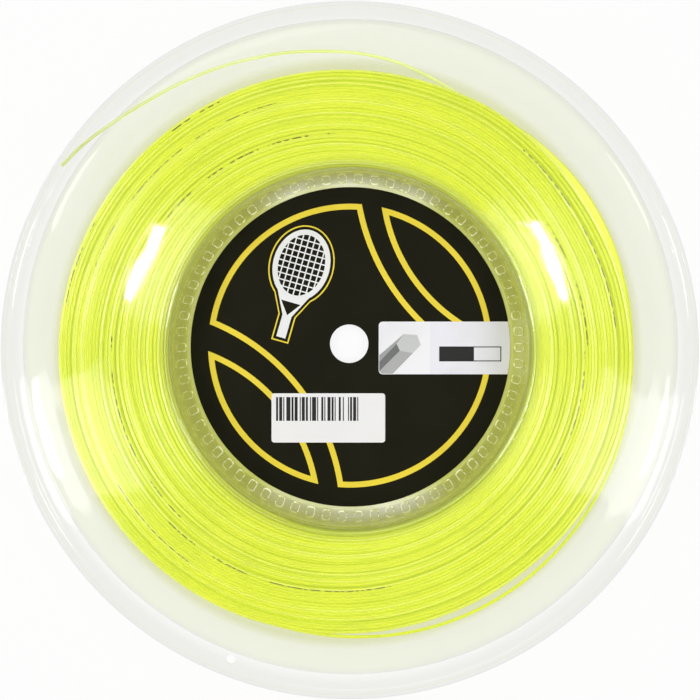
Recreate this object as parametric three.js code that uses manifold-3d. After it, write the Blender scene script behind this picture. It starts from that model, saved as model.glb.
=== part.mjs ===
// A shop reel of racket string: two clear moulded halves, a paper label with a sticker, the wound string and its free end.
// Millimetres. The reel lies flat on the rim of its rear half, with its axis along +Z and the label facing up.
import * as THREE from "three";
import { mergeVertices } from "three/addons/utils/BufferGeometryUtils.js";
import Module from "manifold-3d";

const wasm = await Module();
wasm.setup();

// Flanges
const rimRadius = 130;
const flangeWall = 1.5;
const stringSpaceAtDrum = 16; // between the two flanges, beside the drum
const flangeFlare = 2.5; // how far each flange leans outwards from the drum to its rim
const rimTurnWidth = 3.8; // the outermost band of a flange, which is turned outwards
const rimTurnHeight = 2.5; // how far the turned band stands out of the flange

// Drum, cup and joint between the halves
const drumRadius = 68.8;
const drumWall = 1.2;
const webLift = 1.5; // the web's underside, above the plane of the rear rim
const webWall = 1.5;
const slopeHeight = 10; // the toothed slope, from the web up to the cup's straight wall
const slopeInset = 3.2; // how far the toothed slope comes in at its foot
const cupMouthRound = 1;
const boreRadius = 9;
const collarWall = 1.4; // the rear half's collar, which the foot of the cup plugs into
const collarRise = 1; // the collar above the rear flange
const halvesClearance = 0.3;

// Teeth on the slope of the cup
const toothCount = 66;
const toothWidth = 2.8;
const toothHeight = 0.7; // how proud a tooth stands of the slope
const toothEndMargin = 0.5; // bare slope left above and below a tooth
const toothRoot = 0.4; // how deep a tooth is rooted in the slope

// Hole in the front flange for the end of the string
const endHoleRadius = 1.8;
const endHoleInset = 5.7; // from the rim's edge to the middle of the hole
const endHoleAngle = 249;
const endHoleSides = 12;

// Label and sticker
const labelInset = 1.4; // from the foot of the slope to the label's edge
const labelThickness = 0.25;
const labelHoleRadius = 7.57;
const labelHoleX = -0.48; // the hole is punched a little off the centre of the disc
const labelHoleY = 1.24;
const stickerWidth = 44.8;
const stickerHeight = 19.4;
const stickerX = -8.7;
const stickerY = -28;
const stickerCorner = 1.6;
const stickerThickness = 0.12;
const paperClearance = 0.05;

// String
const stringGauge = 1.25;
const bareFlange = 22.4; // from the outside of the wound string to the rim's edge
const stringClearance = 0.3;
const turnGap = 0.42; // least bare space between two turns of the winding
const mostFaceTurns = 14; // turns that spiral over the front face of the pack
const mostTurns = 24; // face turns and drum turns together
const windingStart = 60; // degrees, the same for the first and the last point of the winding

// Facets
const ringFacets = 72;
const turnSteps = 24;
const turnSides = 6;
const rimTurnSteps = 4;
const strandSides = 8;

// Worked out
const halfWidth = stringSpaceAtDrum / 2 + flangeFlare + flangeWall + rimTurnHeight;
const reelWidth = 2 * halfWidth;
const bendRadius = rimRadius - rimTurnWidth;
const cupRadius = drumRadius - drumWall;
const packRadius = rimRadius - bareFlange;
const endHoleDistance = rimRadius - endHoleInset;

const radians = THREE.MathUtils.degToRad;
const polar = (degrees, radius, height) =>
  new THREE.Vector3(radius * Math.cos(radians(degrees)), radius * Math.sin(radians(degrees)), height);

// Height of the rear flange's inner face. The front flange is its mirror image.
function rearInnerHeight(radius) {
  const lean = (flangeFlare * (radius - drumRadius)) / (bendRadius - drumRadius);
  return halfWidth - stringSpaceAtDrum / 2 - lean;
}
const frontInnerHeight = (radius) => reelWidth - rearInnerHeight(radius);

// A quarter turn of an ellipse that starts flat at the inner end and ends upright at the rim's edge.
function rimTurn(width, height, startHeight) {
  const points = [];
  for (let step = 0; step <= rimTurnSteps; step += 1) {
    const turn = (step / rimTurnSteps) * (Math.PI / 2);
    points.push([bendRadius + width * Math.sin(turn), startHeight + height * (1 - Math.cos(turn))]);
  }
  return points;
}

// A closed outline of [radius, height] points, turned about the reel's axis.
function revolve(outline) {
  const points = outline.map(([radius, height]) => new THREE.Vector2(radius, height));
  if (THREE.ShapeUtils.area(points) < 0) points.reverse();
  points.push(points[0].clone());
  return new THREE.LatheGeometry(points, ringFacets).rotateX(Math.PI / 2);
}

function solidOf(geometry) {
  const bare = geometry.index ? geometry.toNonIndexed() : geometry.clone();
  bare.deleteAttribute("normal");
  bare.deleteAttribute("uv");
  const merged = mergeVertices(bare, 1e-4);
  return new wasm.Manifold(
    new wasm.Mesh({
      numProp: 3,
      vertProperties: merged.attributes.position.array,
      triVerts: new Uint32Array(merged.index.array),
    }),
  );
}

function geometryOf(solid) {
  const mesh = solid.getMesh();
  const geometry = new THREE.BufferGeometry();
  geometry.setAttribute("position", new THREE.BufferAttribute(mesh.vertProperties, 3));
  geometry.setIndex(new THREE.BufferAttribute(mesh.triVerts, 1));
  geometry.computeVertexNormals();
  return geometry;
}

// The two faces of the front flange's turned rim, from the bend outwards. The rim's edge is flat and one wall wide.
function rimFaces() {
  const innerAtBend = frontInnerHeight(bendRadius);
  return {
    inner: rimTurn(rimTurnWidth, rimTurnHeight + flangeWall, innerAtBend),
    outer: rimTurn(rimTurnWidth - flangeWall, rimTurnHeight, innerAtBend + flangeWall),
  };
}

// Front half: flange, cup that holds the label, and the drum that the string is wound on.
const cupMouth = frontInnerHeight(drumRadius) + flangeWall;
const webTop = webLift + webWall;
const slopeTop = webTop + slopeHeight;
const slopeFootRadius = cupRadius - slopeInset;
const slopeRadius = (height) => slopeFootRadius + (slopeInset * (height - webTop)) / slopeHeight;
const collarTop = rearInnerHeight(drumRadius) + collarRise;
const stepHeight = collarTop + halvesClearance;
const collarBore = drumRadius - collarWall;
const spigotRadius = collarBore - halvesClearance;

function cupOutline() {
  const faces = rimFaces();
  const mouthSlant = cupMouthRound * (1 - Math.SQRT1_2);
  return [
    ...faces.outer.toReversed(),
    [cupRadius + cupMouthRound, cupMouth],
    [cupRadius + mouthSlant, cupMouth - mouthSlant],
    [cupRadius, cupMouth - cupMouthRound],
    [cupRadius, slopeTop],
    [slopeFootRadius, webTop],
    [boreRadius, webTop],
    [boreRadius, webLift],
    [spigotRadius, webLift],
    [spigotRadius, stepHeight],
    [drumRadius, stepHeight],
    [drumRadius, frontInnerHeight(drumRadius)],
    ...faces.inner,
  ];
}

function tooth(index) {
  const low = webTop + toothEndMargin;
  const high = slopeTop - toothEndMargin;
  const side = new THREE.Shape([
    new THREE.Vector2(slopeRadius(low) + toothRoot, low),
    new THREE.Vector2(slopeRadius(high) + toothRoot, high),
    new THREE.Vector2(slopeRadius(high) - toothHeight, high - toothHeight),
    new THREE.Vector2(slopeRadius(low) - toothHeight, low + toothHeight / 2),
  ]);
  const geometry = new THREE.ExtrudeGeometry(side, { depth: toothWidth, bevelEnabled: false, steps: 1 });
  geometry.translate(0, 0, -toothWidth / 2).rotateX(Math.PI / 2);
  return geometry.rotateZ((index * 2 * Math.PI) / toothCount);
}

function endHole() {
  const centre = polar(endHoleAngle, endHoleDistance, frontInnerHeight(endHoleDistance) + flangeWall / 2);
  const drill = new THREE.CylinderGeometry(endHoleRadius, endHoleRadius, 4 * flangeWall, endHoleSides);
  return drill.rotateX(Math.PI / 2).translate(centre.x, centre.y, centre.z);
}

function frontHalf() {
  let half = solidOf(revolve(cupOutline()));
  for (let index = 0; index < toothCount; index += 1) half = half.add(solidOf(tooth(index)));
  return geometryOf(half.subtract(solidOf(endHole())));
}

// Rear half: flange and the collar that the cup's spigot plugs into.
function rearHalf() {
  const faces = rimFaces();
  const mirrored = (points) => points.map(([radius, height]) => [radius, reelWidth - height]);
  return revolve([
    ...mirrored(faces.outer).toReversed(),
    [drumRadius, rearInnerHeight(drumRadius) - flangeWall],
    [drumRadius, webLift],
    [collarBore, webLift],
    [collarBore, collarTop],
    [drumRadius, collarTop],
    [drumRadius, rearInnerHeight(drumRadius)],
    ...mirrored(faces.inner),
  ]);
}

// Paper: a round label with its punched hole, and a sticker with round corners on it.
const labelRadius = slopeFootRadius - labelInset;
const labelBottom = webTop + paperClearance;
const stickerBottom = labelBottom + labelThickness + paperClearance;

function label() {
  const disc = new THREE.Shape().absarc(0, 0, labelRadius, 0, 2 * Math.PI);
  disc.holes.push(new THREE.Path().absarc(labelHoleX, labelHoleY, labelHoleRadius, 0, 2 * Math.PI, true));
  const options = { depth: labelThickness, bevelEnabled: false, curveSegments: ringFacets / 2 };
  return new THREE.ExtrudeGeometry(disc, options).translate(0, 0, labelBottom);
}

function sticker() {
  const left = stickerX - stickerWidth / 2;
  const right = stickerX + stickerWidth / 2;
  const low = stickerY - stickerHeight / 2;
  const high = stickerY + stickerHeight / 2;
  const sheet = new THREE.Shape();
  sheet.absarc(right - stickerCorner, high - stickerCorner, stickerCorner, 0, Math.PI / 2);
  sheet.absarc(left + stickerCorner, high - stickerCorner, stickerCorner, Math.PI / 2, Math.PI);
  sheet.absarc(left + stickerCorner, low + stickerCorner, stickerCorner, Math.PI, 1.5 * Math.PI);
  sheet.absarc(right - stickerCorner, low + stickerCorner, stickerCorner, 1.5 * Math.PI, 2 * Math.PI);
  const options = { depth: stickerThickness, bevelEnabled: false, curveSegments: 3 };
  return new THREE.ExtrudeGeometry(sheet, options).translate(0, 0, stickerBottom);
}

// Wound string. One tube spirals out over the front face of the pack, then winds down over its outside.
const stringRadius = stringGauge / 2;
const chordShare = Math.cos(Math.PI / turnSteps); // a turn's straight steps pass this much nearer the axis
const seat = stringClearance + stringRadius;
const innerTurn = (drumRadius + seat) / chordShare;
const outerTurn = packRadius - stringRadius;
const topTurn = frontInnerHeight(outerTurn) - seat;
const bottomTurn = rearInnerHeight(outerTurn) + seat;
const leastPitch = stringGauge + turnGap;
const cornerDrop = Math.SQRT2 * leastPitch; // the first turn past the pack's edge drops further, to clear the last face turn
const faceTurns = Math.min(mostFaceTurns, Math.floor((outerTurn - innerTurn) / cornerDrop));
const drumRoom = topTurn - bottomTurn - cornerDrop;
const evenTurns = Math.min(mostTurns - faceTurns - 1, Math.floor(drumRoom / leastPitch));
const evenPitch = drumRoom / evenTurns;
const windingTurns = faceTurns + 1 + evenTurns;

function windingPoint(turn) {
  const share = Math.min(turn / faceTurns, 1);
  const radius = innerTurn + (outerTurn - innerTurn) * share;
  const past = Math.max(turn - faceTurns, 0);
  const drop = Math.min(past, 1) * cornerDrop + Math.max(past - 1, 0) * evenPitch;
  return polar(windingStart + 360 * turn, radius, frontInnerHeight(radius) - seat - drop);
}

const windingPoints = [];
for (let step = 0; step <= windingTurns * turnSteps; step += 1) {
  windingPoints.push(windingPoint(step / turnSteps));
}

// Both ends run straight on for one diameter, along the turn.
const along = (degrees) => polar(degrees + 90, 1, 0);
const firstPoint = windingPoints[0];
const lastPoint = windingPoints[windingPoints.length - 1];
windingPoints.unshift(firstPoint.clone().addScaledVector(along(windingStart), -stringGauge));
windingPoints.push(lastPoint.clone().addScaledVector(along(windingStart), stringGauge));

// The winding's least gap to itself, between points of the tube that are over half a turn apart.
function leastGap(points) {
  let least = Infinity;
  for (let i = 0; i < points.length; i += 1) {
    for (let j = i + turnSteps / 2; j < points.length; j += 1) {
      least = Math.min(least, points[i].distanceTo(points[j]));
    }
  }
  return least - stringGauge;
}
console.log(windingTurns + " turns, least gap of the winding to itself " + leastGap(windingPoints).toFixed(2) + " mm");

// A closed tube about the reel's axis, whose rings stand square to the turns.
function windingTube(points) {
  const positions = [];
  const faces = [];
  for (const [index, point] of points.entries()) {
    const before = points[Math.max(index - 1, 0)];
    const after = points[Math.min(index + 1, points.length - 1)];
    const tangent = after.clone().sub(before).normalize();
    const outwards = new THREE.Vector3(tangent.y, -tangent.x, 0).normalize();
    const upwards = new THREE.Vector3().crossVectors(outwards, tangent);
    for (let side = 0; side < turnSides; side += 1) {
      const angle = (side * 2 * Math.PI) / turnSides;
      const corner = point.clone();
      corner.addScaledVector(outwards, stringRadius * Math.cos(angle));
      corner.addScaledVector(upwards, stringRadius * Math.sin(angle));
      positions.push(corner.x, corner.y, corner.z);
    }
  }
  for (let ring = 0; ring < points.length - 1; ring += 1) {
    for (let side = 0; side < turnSides; side += 1) {
      const here = ring * turnSides + side;
      const beside = ring * turnSides + ((side + 1) % turnSides);
      faces.push(here, here + turnSides, beside, beside, here + turnSides, beside + turnSides);
    }
  }
  const lastRing = (points.length - 1) * turnSides;
  for (let side = 1; side < turnSides - 1; side += 1) {
    faces.push(0, side, side + 1);
    faces.push(lastRing, lastRing + side + 1, lastRing + side);
  }
  const geometry = new THREE.BufferGeometry();
  geometry.setAttribute("position", new THREE.Float32BufferAttribute(positions, 3));
  geometry.setIndex(faces);
  geometry.computeVertexNormals();
  return geometry;
}

// The inner layers of string: a plain ring that fills the space behind the outer turns.
function stringCore() {
  const bore = drumRadius + stringClearance;
  const outside = (outerTurn - seat) * chordShare;
  const depth = stringGauge + 2 * stringClearance;
  return revolve([
    [bore, rearInnerHeight(bore) + stringClearance],
    [outside, rearInnerHeight(outside) + stringClearance],
    [outside, frontInnerHeight(outside) - depth],
    [bore, frontInnerHeight(bore) - depth],
  ]);
}

// The free end: it leaves the last turn, springs away from the pack and climbs to the front rim.
// Each point is [degrees, radius, height].
const strandPoints = [
  [64, 107.3, 5.8],
  [69, 108.6, 6.0],
  [76, 111.2, 6.8],
  [84, 113.7, 8.4],
  [96, 115.6, 11.2],
  [108, 117.5, 14.4],
  [120, 119.7, 17.4],
  [131, 122.2, 20.0],
  [137, 124.4, 21.5],
  [143, 127.0, 23.1],
  [147.5, 128.5, 24.1],
];

function freeEnd() {
  const exit = lastPoint.clone().addScaledVector(along(windingStart), stringGauge + stringClearance);
  const straight = exit.clone().addScaledVector(along(windingStart), 2 * stringGauge);
  const route = new THREE.CatmullRomCurve3([exit, straight, ...strandPoints.map((point) => polar(...point))]);
  const length = route.getLength();
  console.log("free end: " + length.toFixed(1) + " mm long");
  const section = [];
  for (let side = 0; side < strandSides; side += 1) {
    const angle = (side * 2 * Math.PI) / strandSides;
    section.push(new THREE.Vector2(stringRadius * Math.cos(angle), stringRadius * Math.sin(angle)));
  }
  const steps = Math.ceil(length / (2.5 * stringGauge));
  return new THREE.ExtrudeGeometry(new THREE.Shape(section), { steps, extrudePath: route });
}

const reel = new THREE.Group();
function place(name, geometry, color, roughness) {
  const material = new THREE.MeshStandardMaterial({ color, roughness, metalness: 0 });
  const mesh = new THREE.Mesh(geometry, material);
  mesh.name = name;
  reel.add(mesh);
}

place("front_half", frontHalf(), 0xe9ebe6, 0.15);
place("rear_half", rearHalf(), 0xe6e8e2, 0.15);
place("front_label", label(), 0x21201a, 0.45);
place("barcode_sticker", sticker(), 0xf2f2f0, 0.6);
place("string_core", stringCore(), 0xc9dc3c, 0.35);
place("string_winding", windingTube(windingPoints), 0xd8ec41, 0.3);
place("string_free_end", freeEnd(), 0xdcf03c, 0.3);

export default reel;
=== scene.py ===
import math
import random

import bmesh
import bpy
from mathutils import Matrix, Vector


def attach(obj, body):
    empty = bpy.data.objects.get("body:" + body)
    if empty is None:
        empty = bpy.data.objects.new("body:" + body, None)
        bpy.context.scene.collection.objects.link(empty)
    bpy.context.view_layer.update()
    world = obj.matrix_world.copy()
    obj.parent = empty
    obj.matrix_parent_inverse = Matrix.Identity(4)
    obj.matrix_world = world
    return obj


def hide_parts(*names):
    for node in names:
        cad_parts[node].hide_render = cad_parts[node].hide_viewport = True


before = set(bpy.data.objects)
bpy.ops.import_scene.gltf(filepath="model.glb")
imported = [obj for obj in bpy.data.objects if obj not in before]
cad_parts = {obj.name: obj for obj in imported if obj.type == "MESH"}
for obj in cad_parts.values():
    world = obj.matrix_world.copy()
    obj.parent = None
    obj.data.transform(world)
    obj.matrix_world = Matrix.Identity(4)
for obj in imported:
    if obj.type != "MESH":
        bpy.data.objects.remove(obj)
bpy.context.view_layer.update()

random.seed(24)


# Camera: parallel to the reel's axis and a little up and to the right of it, so the frame is shifted back
cameraSpec = {
    "place": (0.0045, 0.0206, 0.459),
    "lens": 59.44,
    "shiftX": -0.0169,
    "shiftY": -0.0791,
}


def addCamera(spec):
    bpy.ops.object.camera_add(location=spec["place"], rotation=(0, 0, 0))
    camera = bpy.context.object
    camera.name = "photoCamera"
    camera.data.sensor_width = 36
    camera.data.lens = spec["lens"]
    camera.data.shift_x = spec["shiftX"]
    camera.data.shift_y = spec["shiftY"]
    bpy.context.scene.camera = camera


addCamera(cameraSpec)
print("camera placed")


# Small helpers for pieces and materials
def polar(degrees, radius, height):
    angle = math.radians(degrees)
    return Vector((radius * math.cos(angle), radius * math.sin(angle), height))


def deselectAll():
    bpy.ops.object.select_all(action="DESELECT")


def applyTransform():
    bpy.ops.object.transform_apply(location=True, rotation=True, scale=True)


def takeWholeMesh():
    bpy.ops.mesh.select_all(action="SELECT")


def giveMaterials(piece, *materials):
    piece.data.materials.clear()
    for material in materials:
        piece.data.materials.append(material)


def finishPiece(piece, slotName, *nodes, material=None):
    if material:
        giveMaterials(piece, material)
    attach(piece, "root")
    if nodes:
        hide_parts(*nodes)


def drillHole(piece, place, radius, depth, sides):
    deselectAll()
    bpy.ops.mesh.primitive_cylinder_add(vertices=sides, radius=radius, depth=depth, location=place)
    drill = bpy.context.object
    deselectAll()
    piece.select_set(True)
    bpy.context.view_layer.objects.active = piece
    cut = piece.modifiers.new("hole", "BOOLEAN")
    cut.operation = "DIFFERENCE"
    cut.solver = "EXACT"
    cut.object = drill
    bpy.ops.object.modifier_apply(modifier=cut.name)
    bpy.data.objects.remove(drill)


# The parts of a noise's range that a ramp takes
wideBand = (0.3, 0.7)
midBand = (0.35, 0.65)


class Surface:
    # A material or world under construction: adds nodes and joins them by socket name
    nodeGap = 190

    def __init__(self, name, kind="materials"):
        self.block = getattr(bpy.data, kind).new(name)
        self.block.use_nodes = True
        self.tree = self.block.node_tree
        self.tree.nodes.clear()
        self.column = 0

    def add(self, kind, settings=None, **inputs):
        node = self.tree.nodes.new("ShaderNode" + kind)
        node.location = (self.column * self.nodeGap, 0)
        self.column += 1
        for key, value in (settings or {}).items():
            setattr(node, key, value)
        for key, value in inputs.items():
            self.feed(node, key, value)
        return node

    def feed(self, node, key, value):
        # in3 is input number 3, and any other key is an input's name with _ for its spaces
        if key[:-1] == "in" and key[-1].isdigit():
            socket = node.inputs[int(key[-1])]
        else:
            socket = node.inputs[key.replace("_", " ")]
        if isinstance(value, bpy.types.NodeSocket):
            self.tree.links.new(value, socket)
        else:
            socket.default_value = value

    def math(self, operation, first, second=0.0):
        return self.add("Math", {"operation": operation}, in0=first, in1=second).outputs[0]

    def ramp(self, value, low, high, fromValue=0.0, toValue=1.0):
        node = self.add("MapRange", {"interpolation_type": "SMOOTHSTEP"}, Value=value)
        for key, limit in zip(("From_Min", "From_Max", "To_Min", "To_Max"), (low, high, fromValue, toValue)):
            self.feed(node, key, limit)
        return node.outputs[0]

    def mixColour(self, factor, first, second):
        return self.add("Mix", {"data_type": "RGBA"}, in0=factor, in6=first, in7=second).outputs[2]

    def mixShader(self, factor, first, second):
        return self.add("MixShader", None, in0=factor, in1=first, in2=second).outputs[0]

    # A painted glow is an emission in the surface's own colour
    def principled(self, colour, roughness, paintedGlow=0.0, **more):
        if paintedGlow:
            more.update(Emission_Color=colour, Emission_Strength=paintedGlow)
        node = self.add("BsdfPrincipled", None, Base_Color=colour, Roughness=roughness, **more)
        return node.outputs[0]

    def objectPoint(self):
        return self.add("TexCoord").outputs["Object"]

    def parts(self, vector):
        return self.add("SeparateXYZ", None, Vector=vector).outputs

    def noise(self, point, scale, detail=2.0):
        return self.add("TexNoise", None, Vector=point, Scale=scale, Detail=detail).outputs[0]

    def lineNoise(self, place, scale, detail=0.0):
        settings = {"noise_dimensions": "1D"}
        return self.add("TexNoise", settings, W=place, Scale=scale, Detail=detail).outputs[0]

    def bump(self, height, distance, strength=1.0):
        return self.add("Bump", None, Height=height, Distance=distance, Strength=strength).outputs[0]

    def axisDistance(self, point):
        flat = self.add("VectorMath", {"operation": "MULTIPLY"}, in0=point, in1=(1, 1, 0))
        return self.add("VectorMath", {"operation": "LENGTH"}, in0=flat.outputs[0]).outputs["Value"]

    def seenShare(self, path):
        # 1 for what the camera sees, also in a mirror or through something clear, and 0 for plain light
        seen = self.math("MAXIMUM", path["Is Camera Ray"], path["Is Glossy Ray"])
        return self.math("MAXIMUM", seen, path["Is Transmission Ray"])

    def finish(self, shader, outputKind="OutputMaterial"):
        self.add(outputKind, None, Surface=shader)
        return self.block


def rgb(red, green, blue):
    # A colour as it is seen on a screen, from 0 to 255, as the linear values that a node takes
    linear = []
    for value in (red, green, blue):
        share = value / 255
        linear.append(share / 12.92 if share <= 0.04045 else ((share + 0.055) / 1.055) ** 2.4)
    return (*linear, 1)


# String: bright yellow-green monofilament
stringLook = {
    "base": rgb(218, 228, 14),
    "deep": rgb(208, 222, 2),
    "tintScale": 60,
    # painted shade on the string next to the drum: its colour, and the radii over which it fades out
    "drumShadeColour": rgb(180, 194, 10),
    "drumShade": (0.0686, 0.0745),
    "paintedGlow": 0.2,  # painted glow: it stands in for the fluorescent dye, and also lifts the shade between the strands
    "roughness": (0.1, 0.22),
    "grainScale": 900,
    "grainBump": (0.00002, 0.25),
    "ior": 1.58,
    # noise along the turns, as waves a turn and the ramp's four numbers
    "toneWaves": 1.3,
    "toneRamp": (0.4, 0.62, 0.0, 0.75),
    "shine": 0.5,
    "shineWaves": 0.9,
    "shineRamp": (0.52, 0.62, 0.35, 1.0),
    # printed dashes: where round the string, and the noise above which there is a dash or a group of them
    "print": rgb(34, 42, 4),
    "printSide": 0.25,
    "printHalf": 0.085,
    "dashesPerTurn": 330,
    "dashLevel": 0.44,
    "groupWaves": 0.16,
    "groupLevel": 0.42,
}
# The turns round the outside: a more saturated yellow, with more painted glow against the shade that they
# lie in
sideLook = dict(stringLook, base=rgb(224, 232, 4), deep=rgb(222, 227, 2), paintedGlow=0.42)
# Painted shade: a darker copy of the string for the turns below the top ones and for the ring behind them
shadedBelowLook = dict(stringLook, base=rgb(208, 219, 8), deep=rgb(202, 215, 2), paintedGlow=0.26)
shadedBelowLook["drumShadeColour"] = rgb(184, 190, 30)
# The free end: paler, with the flange's haze over it painted in, and more painted glow against the shade at
# its edges
looseLook = dict(stringLook, base=rgb(218, 227, 157), deep=rgb(212, 222, 135), paintedGlow=0.3)


def stringMaterial(name, look, turns=0, stretches=()):
    # stretches are the printed parts: (the turn at their middle, half their length in turns)
    s = Surface(name)
    point = s.objectPoint()
    tint = s.noise(point, look["tintScale"], 3)
    base = s.mixColour(s.ramp(tint, *midBand), look["base"], look["deep"])
    shine = look["shine"]
    if turns:
        along, around, _ = s.parts(s.add("UVMap").outputs[0])
        turn = s.math("MULTIPLY", along, float(turns))
        tone = s.lineNoise(turn, look["toneWaves"], 1.0)
        base = s.mixColour(s.ramp(tone, *look["toneRamp"]), look["base"], base)
        # A few strands have a side turned to the light, and shine more
        shine = s.ramp(s.lineNoise(turn, look["shineWaves"]), *look["shineRamp"])
    if stretches:
        # Short printed dashes in groups, on the side that faces out of the reel
        dashes = s.math("MULTIPLY", turn, float(look["dashesPerTurn"]))
        dash = s.math("GREATER_THAN", s.lineNoise(dashes, 1.0), look["dashLevel"])
        group = s.math("GREATER_THAN", s.lineNoise(dashes, look["groupWaves"]), look["groupLevel"])
        offTop = s.math("ABSOLUTE", s.math("SUBTRACT", around, look["printSide"]))
        onTop = s.math("LESS_THAN", offTop, look["printHalf"])
        dash = s.math("MULTIPLY", s.math("MULTIPLY", dash, group), onTop)
        printed = 0.0
        for middle, half in stretches:
            away = s.math("ABSOLUTE", s.math("SUBTRACT", turn, middle))
            printed = s.math("MAXIMUM", printed, s.math("LESS_THAN", away, half))
        base = s.mixColour(s.math("MULTIPLY", printed, dash), base, look["print"])
    # Painted shade on the strands next to the drum
    near = s.ramp(s.axisDistance(point), *look["drumShade"], 1.0, 0.0)
    base = s.mixColour(near, base, look["drumShadeColour"])
    fine = s.noise(point, look["grainScale"])
    shader = s.principled(
        base,
        s.ramp(fine, *wideBand, *look["roughness"]),
        look["paintedGlow"],
        Normal=s.bump(fine, *look["grainBump"]),
        Specular_IOR_Level=shine,
        IOR=look["ior"],
    )
    return s.finish(shader)


# The free end: it leaves the last turn, springs away from the pack and climbs to the front rim
strandSpec = {
    "gauge": 0.00125,
    "exit": (60.832, 0.107013, 0.00576),
    "exitWay": 150,
    "exitRun": 0.0025,
    "length": 0.1796,
    # degrees, radius, height
    "route": [
        (64, 0.1073, 0.0058), (69, 0.1086, 0.0060), (76, 0.1112, 0.0068), (84, 0.1137, 0.0084),
        (96, 0.1156, 0.0112), (108, 0.1175, 0.0144), (120, 0.1197, 0.0174), (131, 0.1222, 0.0200),
        (137, 0.1244, 0.0215), (143, 0.1270, 0.0231), (147.5, 0.1285, 0.0241),
    ],
}


def smoothCurve(name, points, thickness):
    # A bevelled Bezier curve through the points, with free ends
    deselectAll()
    bpy.ops.curve.primitive_bezier_curve_add(location=(0, 0, 0))
    piece = bpy.context.object
    piece.name = name
    curve = piece.data
    curve.splines.clear()
    curve.dimensions = "3D"
    spline = curve.splines.new("BEZIER")
    spline.bezier_points.add(len(points) - 1)
    for knot, place in zip(spline.bezier_points, points):
        knot.co = place
        knot.handle_left_type = "AUTO"
        knot.handle_right_type = "AUTO"
    curve.bevel_depth = thickness / 2
    curve.bevel_resolution = 4
    curve.resolution_u = 12
    curve.use_fill_caps = True
    return piece


def addFreeEnd(spec):
    exitPoint = polar(*spec["exit"])
    along = polar(spec["exitWay"], 1, 0)
    points = [exitPoint, exitPoint + along * spec["exitRun"]]
    points += [polar(*place) for place in spec["route"]]
    piece = smoothCurve("looseEnd", points, spec["gauge"])
    giveMaterials(piece, stringMaterial("looseEndString", looseLook))
    finishPiece(piece, "string", "string_free_end")


addFreeEnd(strandSpec)
print("free end of the string laid")


# The reel's sizes, which every piece below is fitted to
reelSpec = {
    "rimRadius": 0.130,
    "width": 0.029,
    "wall": 0.0015,
    "innerAtDrum": 0.0065,
    "flare": 0.0025,
    "bendRadius": 0.1262,
    "drumRadius": 0.0688,
    "cupRadius": 0.0676,
    "mouthRound": 0.0036,
    "mouthWall": (0.0044, 0.0048),
    "slopeTop": 0.013,
    "slopeFootRadius": 0.0644,
    "webTop": 0.003,
    "webBottom": 0.0015,
    "labelSeat": 0.0628,
    "boreRadius": 0.009,
    "spigotRadius": 0.0671,
    "collarBore": 0.0674,
    "collarTop": 0.0075,
    "stepHeight": 0.0078,
    "slopeWall": 0.0006,
    "slopeShares": (0.06, 0.10, 0.90, 0.94),
    "fineRound": 0.0002,
    "edgeRound": 0.0003,
    "footRound": 0.0004,
    "steps": 192,
}


def rearInner(radius):
    drum = reelSpec["drumRadius"]
    return reelSpec["innerAtDrum"] - reelSpec["flare"] * (radius - drum) / (reelSpec["bendRadius"] - drum)


def frontInner(radius):
    return reelSpec["width"] - rearInner(radius)


# Clear mouldings. A band is where one tint turns into the next, by the distance from the axis
plasticLook = {
    "clean": (0.995, 0.997, 0.992, 1),
    # a greyer tint towards the rim, and the band where it sets in
    "outerTint": (0.934, 0.935, 0.918, 1),
    "outerTintBand": (0.1195, 0.1265),
    "rimEdge": (0.915, 0.917, 0.91, 1),
    "rimBand": (0.1286, 0.1298),
    # the rear flange's see-through tint, yellowed by painted bounce light from the string
    "rearBounceTint": (0.958, 0.964, 0.905, 1),
    "rearOuterTintBand": (0.1284, 0.1299),
    # painted shadow and yellow bounce light of the pack on the rear flange, then the band and shift of where
    # it lies
    "packShadowAndBounce": (0.88, 0.893, 0.705, 1),
    "packBand": (0.1128, 0.1174),
    "packShift": (0.0014, 0.0023, 0),
    "haze": (0.9, 0.92, 0.86, 1),
    "hazeRoughness": 0.35,
    "hazeBlend": 0.35,
    "hazeFrom": 0.3,
    "hazeFront": 0.012,
    "hazeRear": 0.12,
    "hazeEdge": 0.4,
    "hazeSpread": (0.7, 1.3),
    "flowScale": 22,
    "speckScale": 300,
    "speckShare": 0.006,
    "unevenness": 0.0002,
    "gloss": 0.045,
    "ior": 1.49,
}


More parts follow.
